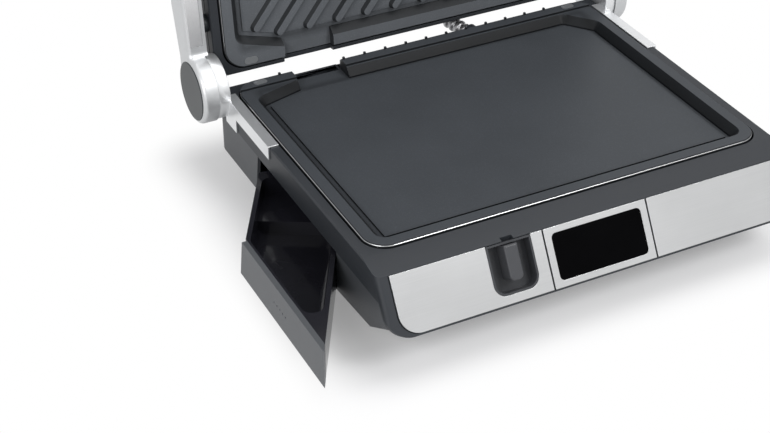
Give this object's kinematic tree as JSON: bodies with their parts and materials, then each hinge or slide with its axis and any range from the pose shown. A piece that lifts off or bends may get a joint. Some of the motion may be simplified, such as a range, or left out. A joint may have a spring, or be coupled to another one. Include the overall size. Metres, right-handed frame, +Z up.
{
  "type": "contact grill",
  "caption": "Countertop contact grill with a flat lower plate, a ribbed floating upper plate in a hinged lid, removable plates, release levers and a side drip tray.",
  "frame": {"origin": "on the table, below the middle of the cooking plates", "axes": "+X to the right of the user who faces the front panel, +Y to the back, +Z up"},
  "size_m": [0.4101, 0.3898, 0.3818],
  "materials": {
    "black_plastic": "satin",
    "brushed_panel": "brushed",
    "display_black": "gloss",
    "circuit_board": "satin",
    "lever_plastic": "satin",
    "galvanised_sheet": "matt",
    "element_sheath": "matt",
    "bracket_steel": "satin",
    "conduit_steel": "polished",
    "nonstick_plate": "dark non-stick coating",
    "tab_steel": "satin",
    "tray_plastic": "gloss",
    "arm_metal": "satin",
    "trim_steel": "brushed",
    "cap_plastic": "satin",
    "cover_steel": "brushed",
    "foot_rubber": "matt"
  },
  "bodies": {
    "base": {"base_frame": "black_plastic", "base_body": "black_plastic", "bottom_cover": "galvanised_sheet", "base_screws": "galvanised_sheet", "rubber_feet": "foot_rubber", "cord_gland": "black_plastic", "front_panel_left": "brushed_panel", "front_panel_center": "brushed_panel", "front_panel_right": "brushed_panel", "display_window": "display_black", "control_board": "circuit_board", "lever_pocket": "black_plastic", "lower_reflector_pan": "galvanised_sheet", "lower_heating_element": "element_sheath", "thermostat": "galvanised_sheet", "tray_guides": "black_plastic", "drain_chute": "black_plastic", "hinge_bracket_left": "bracket_steel", "hinge_bracket_right": "bracket_steel", "hinge_pin_left": "bracket_steel", "hinge_pin_right": "bracket_steel", "conduit_collar_base": "black_plastic", "wiring_conduit": "conduit_steel"},
    "lower_plate": {"lower_plate": "nonstick_plate", "lower_plate_tabs": "tab_steel"},
    "tray": {"drip_tray": "tray_plastic", "tray_fascia": "tray_plastic"},
    "release_lever": {"release_lever": "lever_plastic"},
    "handle": {"arm_left": "arm_metal", "arm_right": "arm_metal", "arm_trim_left": "trim_steel", "arm_trim_right": "trim_steel", "hinge_cap_left": "cap_plastic", "hinge_cap_right": "cap_plastic", "handle_bar": "arm_metal", "lid_pivot_left": "bracket_steel", "lid_pivot_right": "bracket_steel"},
    "lid": {"lid_frame": "black_plastic", "lid_cover": "cover_steel", "upper_reflector_pan": "galvanised_sheet", "upper_heating_element": "element_sheath", "conduit_collar_lid": "black_plastic"},
    "upper_plate": {"upper_plate": "nonstick_plate", "upper_plate_tabs": "tab_steel"},
    "upper_release_lever": {"upper_release_lever": "lever_plastic"}
  },
  "joints": [
    {"name": "lid_hinge", "type": "hinge", "parent": "base", "child": "handle", "pos_m": [0, 0.127, 0.081], "axis": [-1, 0, 0], "range_deg": [-97, 0], "deforming": ["wiring_conduit"]},
    {"name": "lid_float", "type": "hinge", "parent": "handle", "child": "lid", "pos_m": [0, 0.14841, 0.12411], "axis": [-1, 0, 0], "range_deg": [-1, 0], "deforming": ["wiring_conduit"]},
    {"name": "upper_plate_slide", "type": "slide", "parent": "lid", "child": "upper_plate", "axis": [0, -0.9925, 0.1219], "range_m": [0, 0.009]},
    {"name": "lower_plate_lift", "type": "slide", "parent": "base", "child": "lower_plate", "axis": [0, 0, 1], "range_m": [0, 0.06]},
    {"name": "tray_slide", "type": "slide", "parent": "base", "child": "tray", "axis": [-0.4917, -0.8708, 0], "range_m": [-0.1058, 0.14]},
    {"name": "release_lever_slide", "type": "slide", "parent": "base", "child": "release_lever", "axis": [0, -0.5105, -0.8599], "range_m": [0, 0.0065], "stiffness_N_per_m": 300, "springref_m": -0.003},
    {"name": "upper_lever_slide", "type": "slide", "parent": "lid", "child": "upper_release_lever", "axis": [0, 0.9925, -0.1219], "range_m": [0, 0.004], "stiffness_N_per_m": 300, "springref_m": -0.003}
  ]
}
